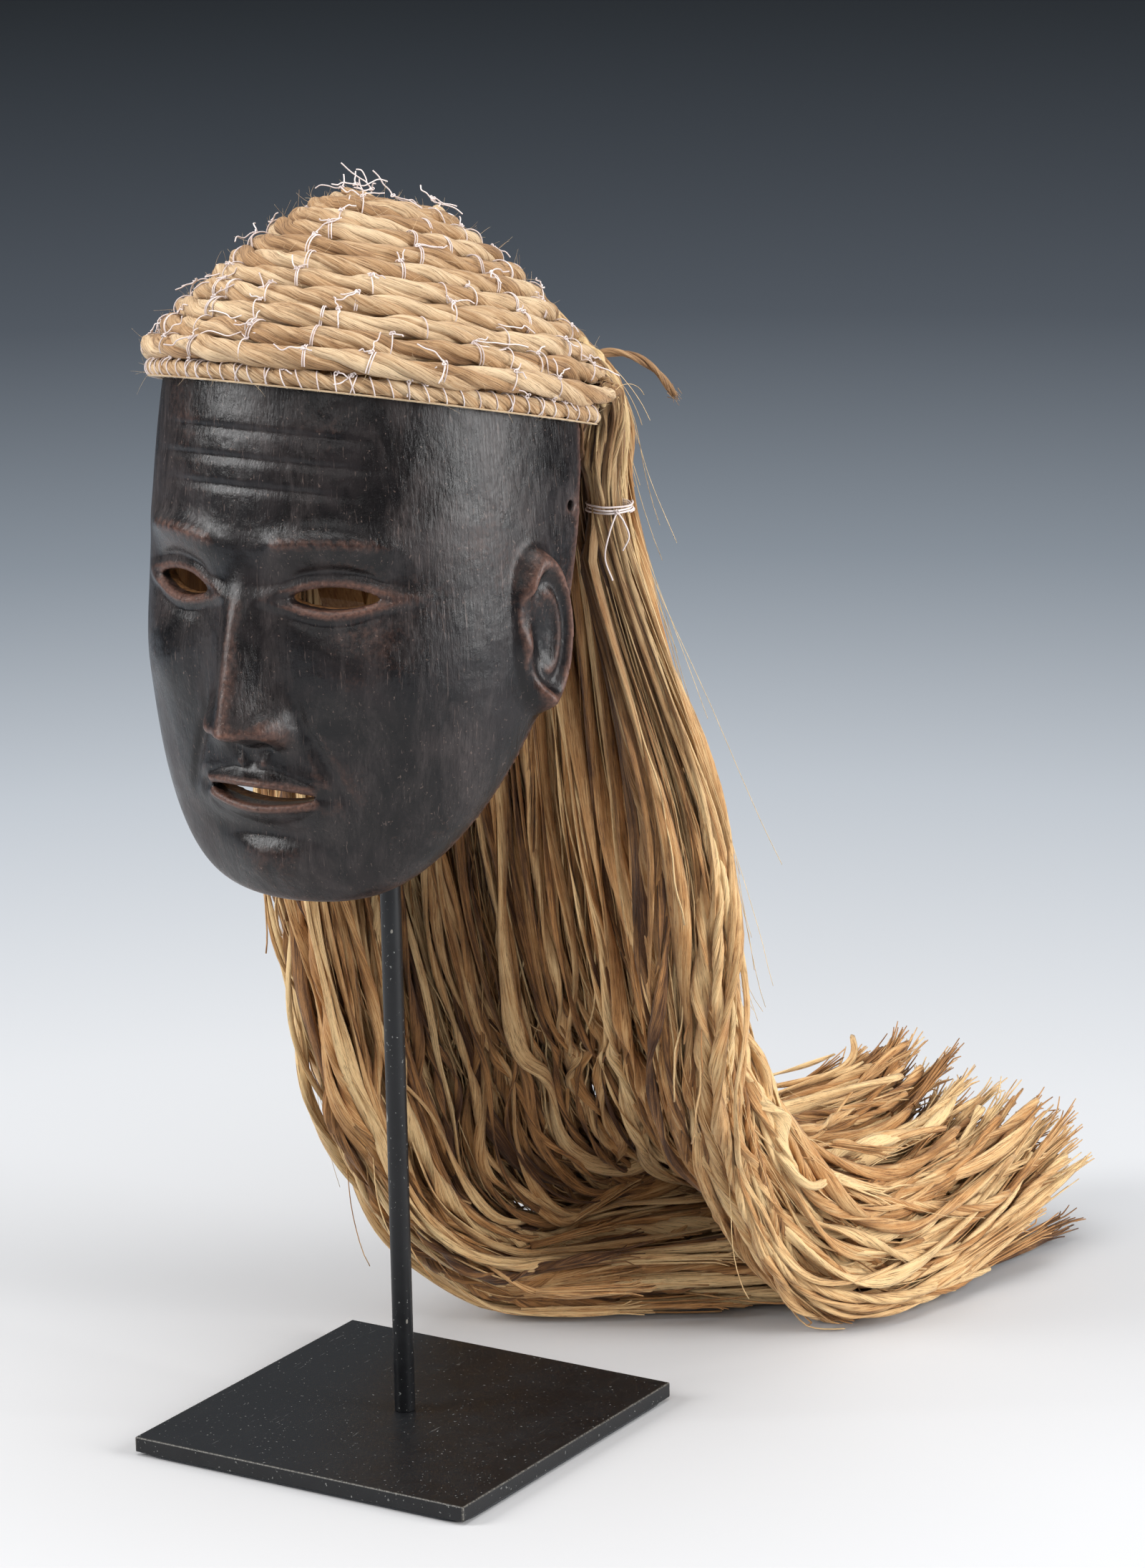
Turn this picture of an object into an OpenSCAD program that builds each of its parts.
// Carved wooden mask with a sewn rope cap and long fibre hair, on a display stand.
// Frame: +Z up, the mask faces -Y, origin on the table under the post's axis. Millimetres.

/* [Stand] */
// Side of the square base plate
plate_side = 150; // [140:5:170]
// Thickness of the base plate
plate_t = 6; // [5:0.5:8]
// Thickness of the felt sheet under the plate
felt_t = 1.5; // [1:0.5:3]
// Diameter of the post
post_d = 8; // [7:0.5:10]
// Height of the post's upper end above the table
post_top = 400; // [390:1:410]

/* [Mask] */
// Height of the lowest point of the chin above the table
chin_z = 230; // [225:1:235]
// Height of the face from chin to hairline
face_h = 200; // [195:1:205]
// Width across the temples, without the ears
face_w = 163; // [158:1:164]
// Distance from the post's axis forward to the brow
brow_front = 92; // [90:1:94]
// Thickness of the carved wall
wall_t = 8; // [6:0.5:9]
// Diameter of the two tying-cord holes
cord_hole_d = 4; // [3:0.5:5]

/* [Cap] */
// Diameter of a cap rope
rope_d = 8.6; // [8:0.1:9]
// Distance between neighbouring ropes, along the dome
rope_pitch = 9.6; // [9.3:0.1:9.8]
// Half width of the lowest rope's oval
cap_a = 82; // [80:1:84]
// Half depth of the lowest rope's oval
cap_b = 98; // [96:1:100]
// Backward lean of the cap, in degrees
cap_lean = 14; // [13:1:15]

/* [Hair] */
// Diameter of a tress
tress_d = 8; // [6:0.5:8]
// Height of the thread ties round the front tresses
tie_z = 362; // [355:1:370]

/* [Hidden] */
EPS = 0.01;
SLACK = 0.3;
ROWS = 10;
SIDES = [[-1, "right"], [1, "left"]];

steel_black = "#141517";
felt_dark = "#26282b";
wood_light = "#a9743f";
lacquer = "#1c1816";
straw = "#d9b884";
hemp = "#b08a55";
thread_white = "#efe6e4";

// ---------------------------------------------------------------- helpers

function mix(a, b, t) = a * (1 - t) + b * t;
function bump(x, centre, width) = exp(-pow((x - centre) / width, 2));
function unit(v) = v / norm(v);
function clamp01(x) = min(max(x, 0), 1);
function smooth(t) = let (c = clamp01(t)) c * c * (3 - 2 * c);

// Point at t from 0 to 1 on a Catmull-Rom curve through all the points.
function curve_at(points, t) =
    let (last = len(points) - 1,
         place = clamp01(t) * last,
         i = min(floor(place), last - 1),
         f = place - i,
         p1 = points[i],
         p2 = points[i + 1],
         p0 = i > 0 ? points[i - 1] : 2 * p1 - p2,
         p3 = i < last - 1 ? points[i + 2] : 2 * p2 - p1)
    0.5 * (2 * p1 + (p2 - p0) * f + (2 * p0 - 5 * p1 + 4 * p2 - p3) * f * f
           + (3 * p1 - p0 - 3 * p2 + p3) * f * f * f);

// Closed tube along a path. The reference direction is never along the path.
module swept_tube(path, radii, reference, sides = 8) {
    rings = len(path);
    last = rings - 1;
    tangents = [for (i = [0:last]) unit(path[min(i + 1, last)] - path[max(i - 1, 0)])];
    points = [for (i = [0:last])
        let (u = unit(cross(tangents[i], reference)), v = cross(u, tangents[i]))
        for (k = [0:sides - 1])
            path[i] + radii[i] * (u * cos(360 * k / sides) + v * sin(360 * k / sides))];
    walls = [for (i = [0:last - 1]) for (k = [0:sides - 1])
        let (n = (k + 1) % sides, a = i * sides, b = a + sides)
        each [[a + k, a + n, b + n], [a + k, b + n, b + k]]];
    ends = [[for (k = [sides - 1:-1:0]) k], [for (k = [0:sides - 1]) last * sides + k]];
    polyhedron(points, concat(walls, ends), convexity = 8);
}

// Closed ring or arc tube whose frame is given at each point as [centre, outward, side].
module framed_tube(frames, radius, closed, sides = 8) {
    rings = len(frames);
    points = [for (f = frames) for (k = [0:sides - 1])
        f[0] + radius * (f[1] * cos(360 * k / sides) + f[2] * sin(360 * k / sides))];
    walls = [for (i = [0:closed ? rings - 1 : rings - 2]) for (k = [0:sides - 1])
        let (n = (k + 1) % sides, j = (i + 1) % rings)
        [i * sides + k, i * sides + n, j * sides + n, j * sides + k]];
    ends = closed ? [] : [[for (k = [sides - 1:-1:0]) k],
                          [for (k = [0:sides - 1]) (rings - 1) * sides + k]];
    polyhedron(points, concat(walls, ends), convexity = 8);
}

// ---------------------------------------------------------------- stand

plate_bottom = felt_t;
plate_top = felt_t + plate_t;
screw_r = 2.45;
screw_head_r = 5;
screw_length = 18;
screw_clear_r = 2.75;
tapped_r = 2.5;
tapped_depth = 15;

module base_felt() {
    color(felt_dark)
        translate([-plate_side / 2 + 1, -plate_side / 2 + 1, 0])
            cube([plate_side - 2, plate_side - 2, felt_t]);
}

module base_plate() {
    sink_depth = screw_head_r + SLACK - screw_clear_r;
    color(steel_black)
        difference() {
            translate([-plate_side / 2, -plate_side / 2, plate_bottom])
                cube([plate_side, plate_side, plate_t]);
            translate([0, 0, plate_bottom - 1])
                cylinder(r = screw_clear_r, h = plate_t + 2, $fn = 48);
            translate([0, 0, plate_bottom - EPS])
                cylinder(r1 = screw_head_r + SLACK, r2 = screw_clear_r, h = sink_depth, $fn = 48);
        }
}

module post() {
    color(steel_black)
        difference() {
            translate([0, 0, plate_top])
                cylinder(d = post_d, h = post_top - plate_top, $fn = 64);
            translate([0, 0, plate_top - 1])
                cylinder(r = tapped_r, h = tapped_depth + 1, $fn = 48);
        }
}

module post_screw() {
    head_z = plate_bottom + 0.1;
    color("silver")
        difference() {
            union() {
                translate([0, 0, head_z])
                    cylinder(r1 = screw_head_r, r2 = screw_r, h = screw_head_r - screw_r, $fn = 48);
                translate([0, 0, head_z + screw_head_r - screw_r - EPS])
                    cylinder(r = screw_r, h = screw_length - 3, $fn = 48);
            }
            translate([0, 0, head_z - EPS])
                cylinder(r = 1.75, h = 1.8, $fn = 6);
        }
}

// ---------------------------------------------------------------- head block inside the mask

block_y0 = -26;
block_y1 = 22;
block_bottom = 320;
block_top = 446;
core_x0 = -12;
core_x1 = 8;
board_t = 9;
board_bottom = 310;
swivel_clearance = 0.05;
block_screw_r = 1.5;
block_screw_places = [[-16, 425], [12, 425], [-16, 352], [12, 352]];
pad_top = 462;
pad_r = 50;

// Outline of the core seen from the side, with a half-round lower end.
module core_outline() {
    r = (block_y1 - block_y0) / 2;
    middle = (block_y0 + block_y1) / 2;
    polygon(concat([[block_y1, block_top], [block_y0, block_top]],
                   [for (a = [180:12:360]) [middle + r * cos(a), block_bottom + r + r * sin(a)]]));
}

module block_core() {
    color(wood_light)
        difference() {
            translate([core_x0, 0, 0])
                rotate([90, 0, 90])
                    linear_extrude(core_x1 - core_x0)
                        core_outline();
            translate([0, 0, block_bottom - 1])
                cylinder(d = post_d + 2 * swivel_clearance, h = post_top + 0.2 - block_bottom + 1, $fn = 64);
            for (p = block_screw_places)
                translate([core_x1, p[0], p[1]])
                    rotate([0, -90, 0])
                        cylinder(r = block_screw_r, h = 9, $fn = 24);
        }
}

module block_board() {
    color("#c8975c")
        difference() {
            translate([core_x1, block_y0 + 3, board_bottom])
                cube([board_t, block_y1 - block_y0 - 6, block_top - board_bottom]);
            for (p = block_screw_places)
                translate([core_x1 - 1, p[0], p[1]])
                    rotate([0, 90, 0]) {
                        cylinder(r = block_screw_r + 0.1, h = board_t + 2, $fn = 24);
                        translate([0, 0, board_t - 1])
                            cylinder(r1 = block_screw_r, r2 = 3.6, h = 2.1, $fn = 24);
                    }
        }
}

module block_screws() {
    color("#b59a5b")
        for (p = block_screw_places)
            translate([core_x1 - 8, p[0], p[1]])
                rotate([0, 90, 0]) {
                    cylinder(r = block_screw_r - 0.02, h = board_t + 7, $fn = 24);
                    translate([0, 0, board_t + 6.2])
                        cylinder(r1 = block_screw_r - 0.1, r2 = 3.1, h = 1.7, $fn = 24);
                }
}

// Felt dome between the block and the cap's crown.
module crown_pad() {
    color(felt_dark)
        intersection() {
            translate([0, 0, pad_top - pad_r])
                sphere(r = pad_r, $fn = 96);
            translate([core_x0 + 1, block_y0 + 5, block_top])
                cube([core_x1 + board_t - core_x0 - 2, block_y1 - block_y0 - 8, pad_top]);
        }
}

// ---------------------------------------------------------------- mask

brow_z = chin_z + face_h * 2 / 3;
nose_z = chin_z + face_h / 3;
eye_z = brow_z - 14;
mouth_z = nose_z - face_h / 9;
eye_x = face_w / 5;
middle_z = chin_z + 105;
lower_h = middle_z - chin_z;
upper_h = 150;
hairline_z = chin_z + face_h;
rim_top_y = 17;
chin_back_y = -60;
temple_drop = 22;
MASK_COLS = 44;
MASK_ROWS = 34;

// Y of the hollow's back edge at a height from 0, the chin, to 1, the hairline.
function rim_y(s) = rim_top_y + (chin_back_y - rim_top_y) * pow(clamp01(1 - s), 2.2);
function half_width(low, c) = face_w / 2 * pow(c, low ? 0.6 : 0.3) * (low ? 1 - 0.12 * pow(1 - c, 0.8) : 1);

// Y of the plain head's front line, which draws back a little towards the chin.
function front_y(s) = -brow_front + 16 * pow(clamp01(1 - s), 3);
function front_depth(s, low, c) = (rim_y(s) - front_y(s)) * pow(c, low ? 0.3 : 0.42);

// How far the carved features stand out of the plain head form, towards the front.
function features(x, z) =
    let (ax = abs(x),
         along = clamp01((eye_z + 4 - z) / (eye_z + 4 - nose_z - 4)),
         nose_h = z < nose_z + 4 ? 21 * smooth((z - nose_z + 5) / 9) : mix(3, 21, along) * smooth((eye_z + 16 - z) / 22),
         nose = nose_h * bump(ax, 0, mix(7, 11, along)),
         wings = 8 * bump(ax, 13, 6) * bump(z, nose_z + 5, 7),
         sockets = -8 * bump(ax, eye_x, 16) * bump(z, eye_z + 2, 11),
         lids = 4.5 * bump(ax, eye_x, 13) * bump(z, eye_z - 1, 8),
         brows = 3 * bump(ax, eye_x - 2, 24) * bump(z, brow_z + 4, 7),
         cheeks = 4 * bump(ax, eye_x + 12, 18) * bump(z, nose_z + 22, 16),
         muzzle = 5 * bump(ax, 0, 30) * bump(z, mouth_z + 2, 17),
         lips = 3 * bump(ax, 0, 20) * (bump(z, mouth_z + 5, 4) + bump(z, mouth_z - 6, 5)),
         under_lip = -3 * bump(ax, 0, 22) * bump(z, mouth_z - 16, 5),
         chin = 5 * bump(ax, 0, 20) * bump(z, chin_z + 15, 11))
    nose + wings + sockets + lids + brows + cheeks + muzzle + lips + under_lip + chin;

function ear(y, z) = 7 * bump(y, -18, 11) * bump(z, (brow_z + nose_z) / 2, 26);

// Point of the outer face (inset 0) or of the hollow (inset wall_t).
function mask_point(row, col, inset) =
    let (turn = -90 + 180 * col / MASK_COLS,
         top_z = hairline_z - temple_drop * (1 - cos(turn)),
         top_angle = asin((top_z - middle_z) / upper_h),
         angle = mix(-90, top_angle, row / MASK_ROWS),
         low = angle < 0,
         c = max(cos(angle), 0),
         z = middle_z + (low ? lower_h - inset : upper_h) * sin(angle),
         s = (z - chin_z) / face_h,
         x = (max(half_width(low, c) - inset, 0)) * sin(turn),
         depth = max(front_depth(s, low, c) - inset, 0) * pow(max(cos(turn), 0), 0.85),
         y = rim_y(s) - depth,
         front = smooth(cos(turn) * 1.6) * (inset > 0 ? 0.35 : 1),
         out = inset > 0 ? 0 : ear(y, z) * smooth(abs(sin(turn)) * 3 - 2) * sign(x))
    [x + out, y - front * features(x, z), z];

module mask_form() {
    cols = MASK_COLS + 1;
    layer = MASK_ROWS * cols;
    pole_out = 0;
    pole_in = 1;
    function id(side, row, col) = 2 + side * layer + (row - 1) * cols + col;
    points = concat(
        [mask_point(0, 0, 0), mask_point(0, 0, wall_t)],
        [for (inset = [0, wall_t]) for (row = [1:MASK_ROWS]) for (col = [0:MASK_COLS])
            mask_point(row, col, inset)]);
    outer = [for (row = [1:MASK_ROWS - 1]) for (col = [0:MASK_COLS - 1]) each [
        [id(0, row, col), id(0, row + 1, col), id(0, row + 1, col + 1)],
        [id(0, row, col), id(0, row + 1, col + 1), id(0, row, col + 1)]]];
    inner = [for (row = [1:MASK_ROWS - 1]) for (col = [0:MASK_COLS - 1]) each [
        [id(1, row, col), id(1, row + 1, col + 1), id(1, row + 1, col)],
        [id(1, row, col), id(1, row, col + 1), id(1, row + 1, col + 1)]]];
    poles = [for (col = [0:MASK_COLS - 1]) each [
        [pole_out, id(0, 1, col), id(0, 1, col + 1)],
        [pole_in, id(1, 1, col + 1), id(1, 1, col)]]];
    top = [for (col = [0:MASK_COLS - 1]) each [
        [id(0, MASK_ROWS, col), id(1, MASK_ROWS, col), id(1, MASK_ROWS, col + 1)],
        [id(0, MASK_ROWS, col), id(1, MASK_ROWS, col + 1), id(0, MASK_ROWS, col + 1)]]];
    rims = [for (row = [1:MASK_ROWS - 1]) each [
        [id(0, row, 0), id(1, row, 0), id(0, row + 1, 0)],
        [id(0, row + 1, 0), id(1, row, 0), id(1, row + 1, 0)],
        [id(0, row, MASK_COLS), id(0, row + 1, MASK_COLS), id(1, row, MASK_COLS)],
        [id(0, row + 1, MASK_COLS), id(1, row + 1, MASK_COLS), id(1, row, MASK_COLS)]]];
    rim_foot = [
        [pole_out, id(1, 1, 0), id(0, 1, 0)], [pole_out, pole_in, id(1, 1, 0)],
        [pole_out, id(0, 1, MASK_COLS), id(1, 1, MASK_COLS)], [pole_out, id(1, 1, MASK_COLS), pole_in]];
    polyhedron(points, concat(outer, inner, poles, top, rims, rim_foot), convexity = 10);
}

// Lens shape with round ends, width w and height h.
module lens(w, h) {
    polygon([for (a = [0:15:345]) [w / 2 * cos(a), h / 2 * sin(a) * (1 - 0.25 * pow(cos(a), 2))]]);
}

cord_hole_y = 6;
cord_hole_z = 372;

module mask_shell() {
    color(lacquer)
        difference() {
            mask_form();
            for (side = [-1, 1])
                translate([side * eye_x, -40, eye_z])
                    rotate([90, 0, 0])
                        linear_extrude(90)
                            lens(30, 8);
            translate([0, -30, mouth_z])
                rotate([90, 0, 0])
                    linear_extrude(100)
                        lens(46, 7);
            for (side = [-1, 1])
                translate([side * 50, cord_hole_y, cord_hole_z])
                    rotate([0, side * 90, 0])
                        cylinder(d = cord_hole_d, h = 50, $fn = 48);
        }
}

// ---------------------------------------------------------------- cap

cap_centre = [0, 9, 414];
rope_r = rope_d / 2;
first_slope = 51;
slope_step = 2.4;
forward_step = -1.6;
first_end = 104;
end_step = 6.6;
thread_r = 0.35;

function row_slope(row) = first_slope - slope_step * row;
function row_height(row) = row <= 0 ? 0 : row_height(row - 1) + rope_pitch * sin(row_slope(row - 1));
function row_inset(row) = row <= 0 ? 0 : row_inset(row - 1) + rope_pitch * cos(row_slope(row - 1));
function row_end(row) = first_end + end_step * row;

// Place on the dome at an angle from the front: [point, outward, along the slope, forward].
function cap_frame(row, angle) =
    let (a = cap_a - row_inset(row), b = cap_b - row_inset(row),
         flat = unit([sin(angle) / a, -cos(angle) / b, 0]),
         slope = row_slope(row),
         outward = flat * sin(slope) + [0, 0, cos(slope)],
         along = unit([a * cos(angle), b * sin(angle), 0]))
    [[a * sin(angle), -b * cos(angle) + forward_step * row, row_height(row)],
     outward, cross(outward, along), along];

module on_cap() {
    translate(cap_centre)
        rotate([-cap_lean, 0, 0])
            children();
}

// The same place in the row frame.
function lean(p) =
    cap_centre + [p[0], p[1] * cos(cap_lean) + p[2] * sin(cap_lean),
                  -p[1] * sin(cap_lean) + p[2] * cos(cap_lean)];

module cap_rope(row) {
    steps = 46 - 2 * row;
    end = row_end(row);
    color(straw)
        on_cap()
            framed_tube([for (i = [0:steps]) cap_frame(row, mix(-end, end, i / steps))],
                        rope_r, closed = false);
}

crown_a = cap_a - row_inset(ROWS - 1) - 9.2;
crown_b = cap_b - row_inset(ROWS - 1) - 9.2;
crown_straight = crown_b - crown_a;
crown_h = row_height(ROWS - 1) + 1.5;

// One closed turn of rope with round ends, and a short straight piece inside it.
module cap_crown_coil() {
    core_half_l = crown_b - 9.2 - rope_r;
    color(straw)
        on_cap()
            translate([0, forward_step * ROWS, crown_h]) {
                framed_tube([for (i = [0:31])
                                let (t = 360 * i / 32, out = [sin(t), -cos(t), 0])
                                [crown_a * out - [0, crown_straight * sign(round(8 * cos(t))), 0],
                                 out, [0, 0, 1]]],
                            rope_r, closed = true);
                framed_tube([for (y = [-core_half_l:core_half_l / 3:core_half_l])
                                [[0, y, 1.5], [1, 0, 0], [0, 0, 1]]],
                            rope_r, closed = false);
            }
}

rim_cord_r = 3.1;
rim_end = 100;
rim_turns = 46;

function rim_frame(angle) =
    let (base = cap_frame(0, angle), out = unit([base[1][0], base[1][1], 0]))
    [base[0] - [0, 0, rope_r + rim_cord_r + 0.2] - out, out, [0, 0, 1], base[3]];

module rim_cord() {
    steps = 46;
    color(straw)
        on_cap()
            framed_tube([for (i = [0:steps]) rim_frame(mix(-rim_end, rim_end, i / steps))],
                        rim_cord_r, closed = false);
}

// Short arc of thread over the outer side of a cord, at a frame [point, outward, side, along].
module thread_arc(frame, radius, sweep) {
    out = frame[1];
    side = cross(frame[3], out);
    p = frame[0];
    multmatrix([[out[0], side[0], frame[3][0], p[0]],
                [out[1], side[1], frame[3][1], p[1]],
                [out[2], side[2], frame[3][2], p[2]],
                [0, 0, 0, 1]])
        rotate([0, 0, -sweep / 2])
            rotate_extrude(angle = sweep, $fn = 64)
                translate([radius, 0])
                    circle(r = thread_r, $fn = 16);
}

module rim_whipping() {
    color(thread_white)
        on_cap()
            for (i = [0:rim_turns])
                thread_arc(rim_frame(mix(-rim_end + 2, rim_end - 2, i / rim_turns)),
                           rim_cord_r + thread_r + 0.15, 105);
}

module cap_stitches() {
    color(thread_white)
        on_cap()
            for (row = [0:ROWS - 1])
                let (count = 12 - row)
                    for (i = [0:count - 1])
                        thread_arc(cap_frame(row, mix(-row_end(row) + 8, row_end(row) - 14, (i + 0.5 * (row % 2)) / (count - 0.5))),
                                   rope_r + thread_r + 0.15, 110);
}

// ---------------------------------------------------------------- hair

// Guide routes from the cap's rim to the tips, from the mask's right temple round the back
// to its left temple. Tresses lie between them.
GUIDES = [
    [[-79, 42, 400], [-81, 46, 350], [-86, 48, 230], [-76, 52, 149], [-68, 64, 92],
     [-58, 90, 42], [-30, 124, 8], [20, 158, 6], [60, 190, 6], [90, 220, 7]],
    [[-54, 80, 394], [-56, 88, 345], [-66, 98, 230], [-58, 102, 145], [-52, 108, 104],
     [-50, 122, 62], [-38, 156, 28], [-8, 194, 20], [22, 236, 22], [44, 280, 26]],
    [[0, 104, 390], [0, 110, 340], [2, 124, 230], [4, 138, 148], [4, 148, 124],
     [2, 160, 96], [-6, 192, 70], [8, 230, 60], [30, 276, 58], [36, 318, 66]],
    [[51, 80, 395], [52, 85, 347], [62, 105, 230], [65, 124, 158], [71, 132, 122],
     [79, 147, 92], [88, 174, 62], [98, 208, 46], [104, 262, 44], [106, 318, 56]],
    [[77, 41, 400], [73, 44, 352], [94, 69, 239], [88, 88, 162], [82, 102, 115],
     [77, 127, 70], [80, 155, 29], [98, 185, 8], [114, 228, 7], [132, 325, 32]]];
TRESS_RINGS = 24;
tie_r = 0.5;

function station(k, across) = curve_at([for (g = GUIDES) g[k]], across);

// Route of one tress: from its rope's end down over the dome's edge, then between the guides.
function tress_route(side, row) =
    let (across = (1 + side * (1 - row / (ROWS - 0.5))) / 2,
         end = cap_frame(row, side * row_end(row)),
         first = lean(end[0] + end[3] * side * 3 + end[1] * 0.5 - end[2] * (row > 1 ? 1.5 : 0)))
    concat([first], [for (k = [0:len(GUIDES[0]) - 1]) station(k, across)]);

module tress(side, row) {
    route = tress_route(side, row);
    path = [for (i = [0:TRESS_RINGS]) curve_at(route, i / TRESS_RINGS)];
    radii = [for (i = [0:TRESS_RINGS]) tress_d / 2 * (i == TRESS_RINGS ? 0.7 : i < 2 ? 0.9 : 1)];
    color(hemp)
        swept_tube(path, radii, unit([1, -0.45, 0.1]));
}

// Three turns of thread round each side's front tresses.
module hair_ties() {
    color(thread_white)
        for (side = [-1, 1])
            let (middle = station(1, (1 + side * (1 - 0.5 / (ROWS - 0.5))) / 2))
                for (turn = [0:2])
                    translate([middle[0], middle[1], tie_z + 1.1 * turn])
                        rotate_extrude($fn = 64)
                            translate([tress_d + 1.6, 0])
                                circle(r = tie_r, $fn = 16);
}

// ---------------------------------------------------------------- nodes

base_felt();
base_plate();
post();
post_screw();
block_core();
block_board();
block_screws();
crown_pad();
mask_shell();
rim_cord();
rim_whipping();
cap_stitches();
cap_crown_coil();
hair_ties();
for (row = [1:ROWS])
    cap_rope(row - 1);
for (side = SIDES)
    for (row = [1:ROWS])
        tress(side[0], row - 1);
